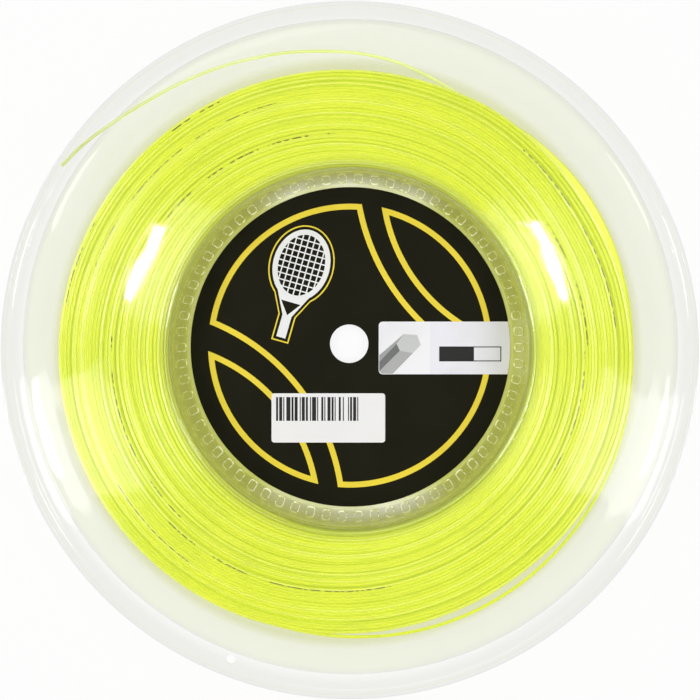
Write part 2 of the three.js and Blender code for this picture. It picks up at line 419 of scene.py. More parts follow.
def clearMaterial(name, look, rear):
    # Clear moulded plastic: sees through, mirrors the lamps, and clouds where it is seen along its surface
    s = Surface(name)
    point = s.objectPoint()
    radius = s.axisDistance(point)
    flow = s.noise(point, look["flowScale"])
    speck = s.noise(point, look["speckScale"])
    outside = s.math("SUBTRACT", 1.0, s.add("NewGeometry").outputs["Backfacing"])
    facing = s.add("LayerWeight", None, Blend=look["hazeBlend"]).outputs["Facing"]
    hazeFacing = look["hazeRear"] if rear else look["hazeFront"]
    cloud = s.ramp(facing, look["hazeFrom"], 1.0, hazeFacing, look["hazeEdge"])
    uneven = s.ramp(flow, *wideBand, *look["hazeSpread"])
    cloud = s.math("MULTIPLY", s.math("MULTIPLY", cloud, outside), uneven)
    bump = s.bump(s.math("ADD", flow, s.math("MULTIPLY", speck, look["speckShare"])), look["unevenness"])
    if rear:
        # The pack's painted shadow and painted yellow bounce light on the flange beside it, where the pack
        # lies a little off centre
        shifted = s.add("VectorMath", {"operation": "ADD"}, in0=point, in1=look["packShift"])
        beside = s.ramp(s.axisDistance(shifted.outputs[0]), *look["packBand"], 1.0, 0.0)
        tint = s.mixColour(beside, look["rearBounceTint"], look["packShadowAndBounce"])
        tint = s.mixColour(s.ramp(radius, *look["rearOuterTintBand"]), tint, look["outerTint"])
    else:
        tint = s.mixColour(s.ramp(radius, *look["outerTintBand"]), look["clean"], look["outerTint"])
        tint = s.mixColour(s.ramp(radius, *look["rimBand"]), tint, look["rimEdge"])
    clear = s.add("BsdfTransparent", None, Color=tint)
    body = s.mixShader(cloud, clear.outputs[0], s.principled(look["haze"], look["hazeRoughness"]))
    gloss = s.add("BsdfGlossy", None, Color=(1, 1, 1, 1), Roughness=look["gloss"], Normal=bump)
    fresnel = s.add("Fresnel", None, IOR=look["ior"], Normal=bump)
    mirror = s.math("MULTIPLY", fresnel.outputs[0], outside)
    return s.finish(s.mixShader(mirror, body, gloss.outputs[0]))


# The wall of the cup, with the string's colour as seen through the clear plastic painted on it: olive, a
# different painted tint higher up, and painted paler light at the top and the bottom
cupLook = {
    "paintedStringTint": rgb(191, 195, 98),
    "high": rgb(200, 208, 86),
    "highFrom": (0.012, 0.021),
    "paintedPale": rgb(234, 234, 212),
    "paintedPaleFrom": (0.051, 0.064),  # away from the x axis
    "paintedPaleUpTo": (0.004, 0.016),
    "patchScale": 38,
    "patchShares": (0.5, 1.0),
    "paintedGlow": 0.17,  # painted glow, for light that the clear wall leads down from the string
    "roughness": (0.18, 0.28),
    "grainScale": 500,
    "toothHighlight": rgb(250, 250, 222),
    "toothHighlightGaps": (0.47, 0.6),
    "toothHighlightGapScale": 520,
    "toothHighlightFade": (0.02, 0.052, 0.32, 0.0),  # the painted highlight fades away from the x axis: the ramp, then how faint it gets
    "toothPaintedGlow": 0.3,
    "toothRoughness": 0.18,
}


def paintedStringMaterial(name, look):
    s = Surface(name)
    point = s.objectPoint()
    _, y, z = s.parts(point)
    patches = s.ramp(s.noise(point, look["patchScale"]), *midBand, *look["patchShares"])
    # Painted paler light at the top and the bottom of the ring, in patches
    paintedPale = s.math("MULTIPLY", s.ramp(s.math("ABSOLUTE", y), *look["paintedPaleFrom"]), patches)
    paintedPale = s.math("MULTIPLY", paintedPale, s.ramp(z, *look["paintedPaleUpTo"], 1.0, 0.0))
    colour = s.mixColour(paintedPale, look["paintedStringTint"], look["paintedPale"])
    colour = s.mixColour(s.ramp(z, *look["highFrom"]), colour, look["high"])
    roughness = s.ramp(s.noise(point, look["grainScale"]), *wideBand, *look["roughness"])
    return s.finish(s.principled(colour, roughness, look["paintedGlow"]))


# The teeth's edges: a painted highlight, broken up by noise, fading away from the x axis, with a painted
# glow
def toothMaterial(name, look):
    s = Surface(name)
    point = s.objectPoint()
    highlightCut = s.ramp(s.noise(point, look["toothHighlightGapScale"]), *look["toothHighlightGaps"])
    _, y, _ = s.parts(point)
    highlightFade = s.ramp(s.math("ABSOLUTE", y), *look["toothHighlightFade"])
    colour = s.mixColour(s.math("ADD", highlightCut, highlightFade), look["toothHighlight"], look["paintedStringTint"])
    return s.finish(s.principled(colour, look["toothRoughness"], look["toothPaintedGlow"]))


frontPlastic = clearMaterial("clearFrontMoulding", plasticLook, False)
rearPlastic = clearMaterial("clearRearMoulding", plasticLook, True)
cupWall = paintedStringMaterial("cupWallPaintedString", cupLook)
toothEdge = toothMaterial("toothEdgeHighlight", cupLook)


def turnOutline(name, outline, steps):
    # A closed outline of (radius, height) points is traced from one vertex and spun about the axis
    deselectAll()
    bpy.ops.mesh.primitive_plane_add(size=0.002, location=(outline[0][0], 0, outline[0][1]))
    piece = bpy.context.object
    piece.name = name
    bpy.ops.object.mode_set(mode="EDIT")
    takeWholeMesh()
    bpy.ops.mesh.merge(type="CENTER")
    for before, after in zip(outline, outline[1:] + outline[:1]):
        step = (after[0] - before[0], 0, after[1] - before[1])
        bpy.ops.mesh.extrude_vertices_move(TRANSFORM_OT_translate={"value": step})
    takeWholeMesh()
    bpy.ops.mesh.remove_doubles(threshold=0.000001)
    bpy.ops.mesh.spin(steps=steps, angle=2 * math.pi, center=(0, 0, 0), axis=(0, 0, 1))
    takeWholeMesh()
    bpy.ops.mesh.remove_doubles(threshold=0.000002)
    bpy.ops.mesh.normals_make_consistent(inside=False)
    bpy.ops.object.mode_set(mode="OBJECT")
    applyTransform()
    bpy.ops.object.shade_smooth_by_angle(angle=math.radians(32))
    return piece


def roundOff(corners):
    # Corners are (radius, height), and one with a third number gets an arc that starts that far back from it
    wide = 0.002
    points = []
    for index, corner in enumerate(corners):
        if len(corner) == 2:
            points.append(corner)
            continue
        back = corner[2]
        here = Vector(corner[:2])
        before = here + (Vector(corners[index - 1][:2]) - here).normalized() * back
        after = here + (Vector(corners[(index + 1) % len(corners)][:2]) - here).normalized() * back
        steps = 12 if back > wide else 4
        for step in range(steps + 1):
            t = step / steps
            place = before * (1 - t) ** 2 + here * (2 * t * (1 - t)) + after * t ** 2
            points.append((place.x, place.y))
    return points


def rimTurn(width, height, startHeight, steps=9):
    points = []
    for step in range(steps + 1):
        turn = step / steps * math.pi / 2
        radius = reelSpec["bendRadius"] + width * math.sin(turn)
        points.append((radius, startHeight + height * (1 - math.cos(turn))))
    return points


def rimFaces(spec):
    # The rim's inner and outer face, from the bend to the rounded edge
    turnWidth = spec["rimRadius"] - spec["bendRadius"]
    innerAtBend = frontInner(spec["bendRadius"])
    height = spec["width"] - innerAtBend
    inner = rimTurn(turnWidth, height, innerAtBend)
    outer = rimTurn(turnWidth - spec["wall"], height - spec["wall"], innerAtBend + spec["wall"])
    inner[-1] += (spec["edgeRound"],)
    outer[-1] += (spec["edgeRound"],)
    return inner, outer


# Shallow moulding ripple in a flange's outer face: radius in mm, how much steeper the face is there
rippleSpec = [(107, 0.0), (109, -0.012), (112.7, -0.012), (114, 0.024), (117, 0.026), (118.6, 0.0),
              (120.6, -0.002), (122, 0.03), (123.5, 0.03), (124.8, 0.0)]


def rippleHeight(radius):
    height = 0
    for (startRadius, startSteep), (endRadius, endSteep) in zip(rippleSpec, rippleSpec[1:]):
        start, end = startRadius / 1000, endRadius / 1000
        if radius <= start:
            break
        reach = min(radius, end)
        steep = startSteep + (endSteep - startSteep) * (reach - start) / (end - start)
        height += (reach - start) * (startSteep + steep) / 2
    return height


# Radii of the points on a flange's outer face, close together over the ripple, and on its inner face
outerRadii = [0.1255 - 0.0005 * step for step in range(38)] + [0.104, 0.098, 0.091, 0.084, 0.077, 0.0722]
innerRadii = [0.0700, 0.078, 0.087, 0.096, 0.105, 0.114, 0.122]


def flangeFace(spec):
    # The front flange's outer face, from the bend in to the cup. The ripple's rise is taken back evenly
    rise = rippleHeight(outerRadii[0])
    face = []
    for radius in outerRadii:
        settle = rise * radius / outerRadii[0]
        face.append((radius, frontInner(radius) + spec["wall"] + rippleHeight(radius) - settle))
    return face


def frontOutline(spec):
    inner, outer = rimFaces(spec)
    cup = spec["cupRadius"]
    mouth = frontInner(cup) + spec["wall"]
    slopeRun = cup - spec["slopeFootRadius"]
    slopeRise = spec["slopeTop"] - spec["webTop"]
    corners = list(reversed(outer)) + flangeFace(spec)
    # Points close beside the rounds keep the walls' shading flat
    corners += [
        (cup, mouth, spec["mouthRound"]),
        (cup, mouth - spec["mouthWall"][0]),
        (cup, mouth - spec["mouthWall"][1]),
        (cup, spec["slopeTop"] + spec["slopeWall"]),
        (cup, spec["slopeTop"], spec["footRound"]),
    ]
    for share in spec["slopeShares"]:
        corners.append((cup - slopeRun * share, spec["slopeTop"] - slopeRise * share))
    corners += [
        (spec["slopeFootRadius"], spec["webTop"], spec["footRound"]),
        (spec["labelSeat"], spec["webTop"]),
        (spec["boreRadius"], spec["webTop"], spec["fineRound"]),
        (spec["boreRadius"], spec["webBottom"], spec["fineRound"]),
        (spec["spigotRadius"], spec["webBottom"], spec["edgeRound"]),
        (spec["spigotRadius"], spec["stepHeight"]),
        (spec["drumRadius"], spec["stepHeight"]),
        (spec["drumRadius"], frontInner(spec["drumRadius"]), spec["footRound"]),
    ]
    corners += [(radius, frontInner(radius)) for radius in innerRadii]
    return roundOff(corners + inner)


def turnedOver(corners):
    return [(corner[0], reelSpec["width"] - corner[1], *corner[2:]) for corner in corners]


def rearOutline(spec):
    # The rim and the outer face are those of the front half, turned over
    inner, outer = rimFaces(spec)
    drum = spec["drumRadius"]
    corners = turnedOver(list(reversed(outer)) + flangeFace(spec))
    corners += [
        (drum, rearInner(drum) - spec["wall"], spec["edgeRound"]),
        (drum, spec["webBottom"], spec["fineRound"]),
        (spec["collarBore"], spec["webBottom"], spec["fineRound"]),
        (spec["collarBore"], spec["collarTop"]),
        (drum, spec["collarTop"]),
        (drum, rearInner(drum), spec["edgeRound"]),
    ]
    corners += [(radius, rearInner(radius)) for radius in innerRadii]
    return roundOff(corners + turnedOver(inner))


# The hole for the string's end, drilled through the front flange
holeSpec = {"radius": 0.0018, "distance": 0.1243, "angle": 249, "depth": 0.008, "sides": 32}

# Where the front half gets the painted string colour: the cup's wall and the web beside the label, as least
# and greatest radius and height
paintedStringZones = {"wall": (0.0640, 0.0678, 0.0032, 0.0231), "web": (0.0628, 0.1300, 0.0029, 0.0034)}


def inZone(zone, radius, height):
    return zone[0] < radius < zone[1] and zone[2] < height < zone[3]


def addFrontHalf(spec, hole):
    piece = turnOutline("reelFront", frontOutline(spec), spec["steps"])
    place = polar(hole["angle"], hole["distance"], frontInner(hole["distance"]))
    drillHole(piece, place, hole["radius"], hole["depth"], hole["sides"])
    giveMaterials(piece, frontPlastic, cupWall)
    for face in piece.data.polygons:
        centre = face.center
        radius = math.hypot(centre.x, centre.y)
        inward = face.normal.x * centre.x + face.normal.y * centre.y < 0
        onWall = inward and inZone(paintedStringZones["wall"], radius, centre.z)
        if onWall or inZone(paintedStringZones["web"], radius, centre.z):
            face.material_index = 1
    finishPiece(piece, "clear_plastic", "front_half")


def addRearHalf(spec):
    piece = turnOutline("reelRear", rearOutline(spec), spec["steps"])
    finishPiece(piece, "clear_plastic", "rear_half", material=rearPlastic)


addFrontHalf(reelSpec, holeSpec)
addRearHalf(reelSpec)
print("clear halves turned")


toothSpec = {
    "count": 66,
    "width": 0.0034,
    "proud": 0.0004,
    "root": 0.0004,
    "low": 0.0042,
    "high": 0.0124,
    "corner": 0.0016,
    "lip": 0.00028,
    "lipSlope": 0.00005,
    "sunk": 0.00032,
    "highlightCut": 0.0002,  # how far down from its face a tooth gets the painted highlight
}
sameWay = 0.99  # two directions of length 1 whose product is above this count as one


def addTeeth(spec, reel):
    # One tooth, a rounded frame with a sunk middle, is modelled on the slope at 0 degrees, then repeated
    slopeRun = reel["cupRadius"] - reel["slopeFootRadius"]
    slopeRise = reel["slopeTop"] - reel["webTop"]
    tilt = math.atan2(slopeRun, slopeRise)
    middle = (spec["low"] + spec["high"]) / 2
    wallRadius = reel["slopeFootRadius"] + slopeRun * (middle - reel["webTop"]) / slopeRise
    length = (spec["high"] - spec["low"]) / math.cos(tilt)
    thickness = spec["proud"] + spec["root"]
    place = (wallRadius + (spec["root"] - spec["proud"]) / 2 * math.cos(tilt), 0, middle)
    deselectAll()
    bpy.ops.mesh.primitive_cube_add(size=1, location=place, rotation=(0, tilt, 0))
    piece = bpy.context.object
    piece.name = "cupTeeth"
    piece.scale = (thickness, spec["width"], length)
    applyTransform()
    outwards = Vector((-math.cos(tilt), 0, math.sin(tilt)))
    bpy.ops.object.mode_set(mode="EDIT")
    mesh = bmesh.from_edit_mesh(piece.data)
    bpy.ops.mesh.select_all(action="DESELECT")
    bpy.ops.mesh.select_mode(type="EDGE")
    for edge in mesh.edges:
        direction = (edge.verts[1].co - edge.verts[0].co).normalized()
        edge.select = abs(direction.dot(outwards)) > sameWay
    bmesh.update_edit_mesh(piece.data)
    bpy.ops.mesh.bevel(offset=spec["corner"], segments=4, affect="EDGES")
    bpy.ops.mesh.select_mode(type="FACE")
    bpy.ops.mesh.select_all(action="DESELECT")
    mesh = bmesh.from_edit_mesh(piece.data)
    for face in mesh.faces:
        face.select = face.normal.dot(outwards) > sameWay
    bmesh.update_edit_mesh(piece.data)
    bpy.ops.mesh.inset(thickness=spec["lip"], depth=0)
    bpy.ops.mesh.inset(thickness=spec["lipSlope"], depth=-spec["sunk"])
    bpy.ops.mesh.select_mode(type="VERT")
    takeWholeMesh()
    steps = spec["count"] - 1
    turned = 2 * math.pi * steps / spec["count"]
    bpy.ops.mesh.spin(steps=steps, angle=turned, dupli=True, center=(0, 0, 0), axis=(0, 0, 1))
    bpy.ops.object.mode_set(mode="OBJECT")
    bpy.ops.object.shade_smooth_by_angle(angle=math.radians(40))
    giveMaterials(piece, cupWall, toothEdge)
    for face in piece.data.polygons:
        centre = face.center
        radial = Vector((centre.x, centre.y, 0)).normalized()
        slopeNormal = -radial * math.cos(tilt) + Vector((0, 0, math.sin(tilt)))
        foot = radial * reel["slopeFootRadius"] + Vector((0, 0, reel["webTop"]))
        proud = (centre - foot).dot(slopeNormal)
        # Faces near each tooth's top get the painted highlight
        face.material_index = 0 if proud < spec["proud"] - spec["highlightCut"] else 1
    finishPiece(piece, "clear_plastic")


addTeeth(toothSpec, reelSpec)
print("teeth set in the cup")


# Label, its print, and the sticker
labelSpec = {
    "radius": 0.063,
    "bottom": 0.00305,
    "top": 0.0033,
    "hole": (-0.00048, 0.00124, 0.00757),
    "holeSides": 96,
    "holeDepth": 0.004,
    "inkStep": 0.000015,
    "black": rgb(27, 26, 15),
    "paper": rgb(232, 231, 224),
    "yellow": rgb(241, 217, 60),
    "panel": rgb(245, 244, 249),
    "panelShade": rgb(237, 236, 246),
}


paperGrain = {"fibreScale": 1500, "tintScale": 45, "smoother": 0.04, "rougher": 0.06, "bump": (0.00001, 0.2)}


def paperMaterial(name, colour, roughness=0.42, specular=0.3, grain=0.04):
    s = Surface(name)
    point = s.objectPoint()
    tint = s.ramp(s.noise(point, paperGrain["tintScale"]), *wideBand)
    fibre = s.noise(point, paperGrain["fibreScale"], 3)
    smoothest = roughness - paperGrain["smoother"]
    roughest = roughness + paperGrain["rougher"]
    darker = (*(value * (1 - grain) for value in colour[:3]), 1)
    lighter = (*(min(value * (1 + grain), 1) for value in colour[:3]), 1)
    shader = s.principled(
        s.mixColour(tint, darker, lighter),
        s.ramp(fibre, *wideBand, smoothest, roughest),
        Normal=s.bump(fibre, *paperGrain["bump"]),
        Specular_IOR_Level=specular,
    )
    return s.finish(shader)


def flatShape(name, outlines, low, high):
    # Flat outlines, each a closed list of (x, y), filled and given a thickness. One inside another is a hole
    deselectAll()
    bpy.ops.curve.primitive_bezier_circle_add(location=(0, 0, 0))
    piece = bpy.context.object
    piece.name = name
    curve = piece.data
    curve.splines.clear()
    curve.dimensions = "2D"
    curve.fill_mode = "BOTH"
    for outline in outlines:
        spline = curve.splines.new("POLY")
        spline.points.add(len(outline) - 1)
        for knot, place in zip(spline.points, outline):
            knot.co = (place[0], place[1], 0, 1)
        spline.use_cyclic_u = True
    curve.extrude = (high - low) / 2
    bpy.ops.object.convert(target="MESH")
    piece = bpy.context.object
    bpy.ops.transform.translate(value=(0, 0, (high + low) / 2))
    applyTransform()
    bpy.ops.object.mode_set(mode="EDIT")
    takeWholeMesh()
    bpy.ops.mesh.remove_doubles(threshold=0.0000005)
    bpy.ops.mesh.normals_make_consistent(inside=False)
    bpy.ops.object.mode_set(mode="OBJECT")
    return piece


def printShape(name, outlines, layers, ink):
    # A printed shape on the label. Where two overlap, the upper one has more layers
    low = labelSpec["top"]
    piece = flatShape(name, outlines, low, low + layers * labelSpec["inkStep"])
    finishPiece(piece, "label_print", material=ink)


def arc(centre, radius, start, end, steps=48):
    points = []
    for step in range(steps + 1):
        angle = math.radians(start + (end - start) * step / steps)
        points.append((centre[0] + radius * math.cos(angle), centre[1] + radius * math.sin(angle)))
    return points


def angleOf(centre, point):
    return math.degrees(math.atan2(point[1] - centre[1], point[0] - centre[0]))


def meeting(first, second, near):
    # Where two circles (centre, radius) meet, the one of the two points that lies nearer to a given point
    (ax, ay), ra = first
    (bx, by), rb = second
    apart = math.hypot(bx - ax, by - ay)
    along = (ra * ra - rb * rb + apart * apart) / (2 * apart)
    across = math.sqrt(max(ra * ra - along * along, 0))
    ux, uy = (bx - ax) / apart, (by - ay) / apart
    found = []
    for side in (1, -1):
        found.append((ax + along * ux - side * across * uy, ay + along * uy + side * across * ux))
    return min(found, key=lambda place: math.hypot(place[0] - near[0], place[1] - near[1]))


def arcBetween(circleSpec, start, end, clockwise):
    centre, radius = circleSpec
    startAngle = angleOf(centre, start)
    endAngle = angleOf(centre, end)
    if clockwise:
        while endAngle > startAngle:
            endAngle -= 360
    else:
        while endAngle < startAngle:
            endAngle += 360
    return arc(centre, radius, startAngle, endAngle)


# The ball figure: a ring cut by two seams into three outlined fields
ballSpec = {
    "line": 0.00225,
    # circles along the lines' outer edges: centre, radius, 1 where the field is outside the circle, or -1
    "circles": [
        ((-0.00016, 0.00049), 0.05596, -1),  # ring
        ((0.0881, 0.0712), 0.0849, 1),  # left edge of the upper seam
        ((0.0797, 0.0656), 0.0682, -1),  # right edge of the upper seam
        ((-0.0856, -0.0668), 0.0815, 1),  # upper edge of the lower seam
        ((-0.0800, -0.0656), 0.0683, -1),  # lower edge of the lower seam
    ],
}


def ballFields(spec):
    # Each field's outer and inner outline: the ring shrinks by one line, and so does the field at its seams
    fields = []
    for inset in (0, spec["line"]):
        circles = [(centre, radius + side * inset) for centre, radius, side in spec["circles"]]
        ring, upperLeft, upperRight, lowerUpper, lowerLower = circles
        top = meeting(ring, upperLeft, (0.004, 0.056))
        right = meeting(ring, upperLeft, (0.055, 0.0))
        left = meeting(ring, lowerUpper, (-0.055, 0.009))
        bottom = meeting(ring, lowerUpper, (-0.004, -0.055))
        middle = arcBetween(ring, top, left, False) + arcBetween(lowerUpper, left, bottom, True)
        middle += arcBetween(ring, bottom, right, False) + arcBetween(upperLeft, right, top, True)
        sliverTop = meeting(ring, upperRight, (0.013, 0.055))
        sliverRight = meeting(ring, upperRight, (0.056, 0.0))
        upper = arcBetween(ring, sliverTop, sliverRight, True)
        upper += arcBetween(upperRight, sliverRight, sliverTop, True)
        sliverLeft = meeting(ring, lowerLower, (-0.056, 0.0))
        sliverBottom = meeting(ring, lowerLower, (-0.013, -0.055))
        lower = arcBetween(ring, sliverLeft, sliverBottom, False)
        lower += arcBetween(lowerLower, sliverBottom, sliverLeft, False)
        fields.append((middle, upper, lower))
    return list(zip(*fields))


def addLabel(spec):
    middle = (spec["top"] + spec["bottom"]) / 2
    thickness = spec["top"] - spec["bottom"]
    deselectAll()
    bpy.ops.mesh.primitive_cylinder_add(
        vertices=256, radius=spec["radius"], depth=thickness, location=(0, 0, middle)
    )
    piece = bpy.context.object
    piece.name = "roundLabel"
    holeX, holeY, holeRadius = spec["hole"]
    drillHole(piece, (holeX, holeY, middle), holeRadius, spec["holeDepth"], spec["holeSides"])
    applyTransform()
    black = paperMaterial("labelBlackPrint", spec["black"], 0.5, 0.05, 0.1)
    paper = paperMaterial("labelPaper", spec["paper"], 0.7, 0.2)
    giveMaterials(piece, black, paper)
    for face in piece.data.polygons:
        face.material_index = 0 if face.normal.z > 0.5 else 1
    finishPiece(piece, "label_print", "front_label")


def addBall(spec, label):
    ink = paperMaterial("labelYellowInk", label["yellow"])
    for name, outlines in zip(("ballMiddle", "ballUpper", "ballLower"), ballFields(spec)):
        printShape(name, outlines, 1, ink)


addLabel(labelSpec)
addBall(ballSpec, labelSpec)
print("label printed")


# The pale panel beside the hole, with a bar's picture and an empty gauge box
panelSpec = {
    "left": 0.01115,
    "low": -0.0108,
    "high": 0.00997,
    "corner": 0.0016,
    "edgeRadius": 0.06294,
    "division": 0.0313,
    "box": (0.03499, 0.05949, -0.00573, 0.00017),
    "boxDivision": 0.0487,
    "boxLine": 0.0004,
}


def panelOutlines(spec):
    # The left part has two round corners, and the right part ends at the label's own edge
    low = spec["low"]
    high = spec["high"]
    corner = spec["corner"]
    division = spec["division"]
    left = arc((spec["left"] + corner, high - corner), corner, 90, 180, 8)
    left += arc((spec["left"] + corner, low + corner), corner, 180, 270, 8)
    left += [(division, low), (division, high)]
    angles = [math.degrees(math.asin(side / spec["edgeRadius"])) for side in (low, high)]
    right = [(division, high), (division, low)] + arc((0, 0), spec["edgeRadius"], *angles, 16)
    return left, right


def rectangle(left, right, low, high):
    return [(left, low), (right, low), (right, high), (left, high)]


barPicture = {
    # corners in mm: the six-sided end, then the sides that run off to the lower left corner
    "end": [(21.0, 5.0), (26.3, 4.7), (27.7, 0.8), (24.6, -2.5), (19.5, -1.5), (18.2, 1.25)],
    "topSide": [(18.2, 1.25), (21.0, 5.0), (11.35, -3.3), (11.35, -6.0)],
    "middleSide": [(19.5, -1.5), (18.2, 1.25), (11.35, -6.0), (11.35, -9.6)],
    "lowSide": [(24.6, -2.5), (19.5, -1.5), (11.35, -9.6), (12.4, -10.6), (16.7, -10.6)],
}
barGreys = {
    "end": (204, 205, 205),
    "topSide": (163, 164, 163),
    "middleSide": (112, 113, 112),
    "lowSide": (176, 177, 176),
}


def addPanel(spec, label):
    leftPart, rightPart = panelOutlines(spec)
    printShape("panelLeft", [leftPart], 2, paperMaterial("panelPale", label["panel"]))
    printShape("panelRight", [rightPart], 2, paperMaterial("panelShade", label["panelShade"]))
    left, right, low, high = spec["box"]
    line = spec["boxLine"]
    outlines = [
        rectangle(left, right, low, high),
        rectangle(spec["boxDivision"], right - line, low + line, high - line),
    ]
    printShape("gaugeBox", outlines, 3, paperMaterial("panelBlackInk", rgb(30, 30, 30), 0.45, 0.2, 0.1))
    for part, grey in barGreys.items():
        corners = [(x / 1000, y / 1000) for x, y in barPicture[part]]
        printShape("bar" + part[0].upper() + part[1:], [corners], 3, paperMaterial(part + "Ink", rgb(*grey)))


addPanel(panelSpec, labelSpec)
print("panel printed")


# A plain racket figure, white with a yellow line round it
racketSpec = {
    "centre": (-0.0193, 0.0322),
    "turn": -16,
    "headWide": 0.0112,
    "headHigh": 0.0143,
    "headArc": (-55, 235),
    "frame": 0.0021,
    "gripHalf": 0.00185,
    "gripLow": -0.0296,
    "gripHigh": -0.0207,
    "throatHole": [(-0.0040, -0.0152), (0.0040, -0.0152), (0.0, -0.0205)],
    "string": 0.0005,
    "mainsPitch": 0.0024,
    "crossPitch": 0.002472,
    "tuck": 0.0004,  # how far the strings reach in under the frame
    "gap": 0.0011,
    "line": 0.00055,
}


def oval(halfWide, halfHigh, start, end, steps):
    points = []
    for step in range(steps + 1):
        angle = math.radians(start + (end - start) * step / steps)
        points.append((halfWide * math.cos(angle), halfHigh * math.sin(angle)))
    return points


def racketOutline(spec, grow):
    # The racket's outer outline, made larger all round by grow
    grip = spec["gripHalf"] + grow
    low = spec["gripLow"] - grow
    head = oval(spec["headWide"] + grow, spec["headHigh"] + grow, *spec["headArc"], 60)
    return head + [(-grip, spec["gripHigh"]), (-grip, low), (grip, low), (grip, spec["gripHigh"])]


def stringPlaces(spec, count, pitch, across, along):
    # Each racket string's distance from the middle, and how far it reaches
    places = []
    for index in range(-count, count + 1):
        offset = index * pitch
        places.append((offset, along * math.sqrt(1 - (offset / across) ** 2) + spec["tuck"]))
    return places


def placeFigure(points, spec):
    turn = math.radians(spec["turn"])
    cosine = math.cos(turn)
    sine = math.sin(turn)
    centreX, centreY = spec["centre"]
    return [(centreX + x * cosine - y * sine, centreY + x * sine + y * cosine) for x, y in points]


def addRacket(spec, label):
    white = paperMaterial("racketWhiteInk", rgb(240, 240, 241))
    yellow = paperMaterial("racketYellowInk", label["yellow"])
    wide = spec["headWide"] - spec["frame"]
    high = spec["headHigh"] - spec["frame"]
    half = spec["string"] / 2
    border = [racketOutline(spec, spec["gap"] + spec["line"]), racketOutline(spec, spec["gap"])]
    body = [racketOutline(spec, 0), oval(wide, high, 0, 355, 71), spec["throatHole"]]
    mains = []
    for x, reach in stringPlaces(spec, 3, spec["mainsPitch"], wide, high):
        mains.append(rectangle(x - half, x + half, -reach, reach))
    crosses = []
    for y, reach in stringPlaces(spec, 4, spec["crossPitch"], high, wide):
        crosses.append(rectangle(-reach, reach, y - half, y + half))
    shapes = [
        ("racketBorder", border, 2, yellow),
        ("racketFrame", body, 3, white),
        ("racketMains", mains, 2, white),
        ("racketCrosses", crosses, 2.5, white),
    ]
    for name, outlines, layers, ink in shapes:
        printShape(name, [placeFigure(outline, spec) for outline in outlines], layers, ink)


addRacket(racketSpec, labelSpec)
print("racket figure printed")


stickerSpec = {
    "sides": (-0.0311, 0.0137, -0.0377, -0.0183),
    "corner": 0.0011,
    "bottom": 0.00335,
    "top": 0.00347,
    "bars": (-0.0293, 0.0039, -0.02915, -0.01976),
    "ink": 0.000012,
    # widths of bars and spaces by turns, in modules
    "modules": "2131124121321131221141132112312113221411213112",
}


def roundedRectangle(left, right, low, high, corner):
    points = arc((right - corner, high - corner), corner, 0, 90, 6)
    points += arc((left + corner, high - corner), corner, 90, 180, 6)
    points += arc((left + corner, low + corner), corner, 180, 270, 6)
    points += arc((right - corner, low + corner), corner, 270, 360, 6)
    return points


def addSticker(spec):
    piece = flatShape(
        "whiteSticker", [roundedRectangle(*spec["sides"], spec["corner"])], spec["bottom"], spec["top"]
    )
    paper = paperMaterial("stickerPaper", rgb(244, 243, 245), 0.6, 0.25, 0.01)
    finishPiece(piece, "sticker_paper", "barcode_sticker", material=paper)
    left, right, low, high = spec["bars"]
    module = (right - left) / sum(int(width) for width in spec["modules"])
    bars = []
    place = left
    for index, width in enumerate(spec["modules"]):
        wide = int(width) * module
        if index % 2 == 0:
            bars.append(rectangle(place, place + wide, low, high))
        place += wide
    piece = flatShape("stickerBars", bars, spec["top"], spec["top"] + spec["ink"])
    ink = paperMaterial("stickerBarInk", rgb(34, 32, 34), 0.5, 0.2, 0.1)
    finishPiece(piece, "sticker_paper", material=ink)


addSticker(stickerSpec)
print("sticker stuck on")


# The wound string: two sheets of turns over each face, two round the outside, and a plain ring behind them
packSpec = {
    "gauge": 0.00125,
    "steps": 168,
    "innerRadius": 0.0697,
    "meanOutside": 0.1072,
    "cornerRadius": 0.107,
    "waveDepth": 2.4,  # how far in the waves of the outside reach
    "swell": 0.0019,  # the middle turns lie off centre, towards swellAngle
    "swellAngle": 195,
    "pitch": 0.0012,
    "clearance": 0.0003,
    "faceDip": 0.00012,
    "sideSwell": 0.00015,
    "faceFade": 12,  # the sway grows over this fraction of a sheet from each of its edges
    "sideFade": 8,
    "sideLoose": 0.25,
    "crossing": 25,  # an outer turn crosses inwards over this fraction of a turn at its end
    "crossingDepth": 8,
    # the pack's outside at its front face and near the rear: degrees, radius in mm
    "frontOutside": [
        (0, 106.6), (15, 105.7), (31, 104.7), (46, 105.1), (60, 105.5), (70, 105.1), (90, 105.6),
        (120, 106.9), (150, 108.4), (175, 109.7), (200, 110.05), (225, 109.65), (245, 108.9), (255, 108.3),
        (262, 107.8), (270, 107.4), (288, 106.8), (310, 106.8), (322, 107.3), (335, 107.2), (348, 107.0),
    ],
    "rearOutside": [
        (0, 109.0), (15, 110.1), (31, 110.3), (45, 109.1), (58, 107.3), (75, 106.4), (90, 106.4),
        (120, 107.4), (150, 108.8), (175, 110.3), (200, 110.8), (225, 110.5), (245, 109.7), (262, 108.4),
        (280, 107.5), (300, 107.3), (320, 107.8), (340, 108.3),
    ],
}

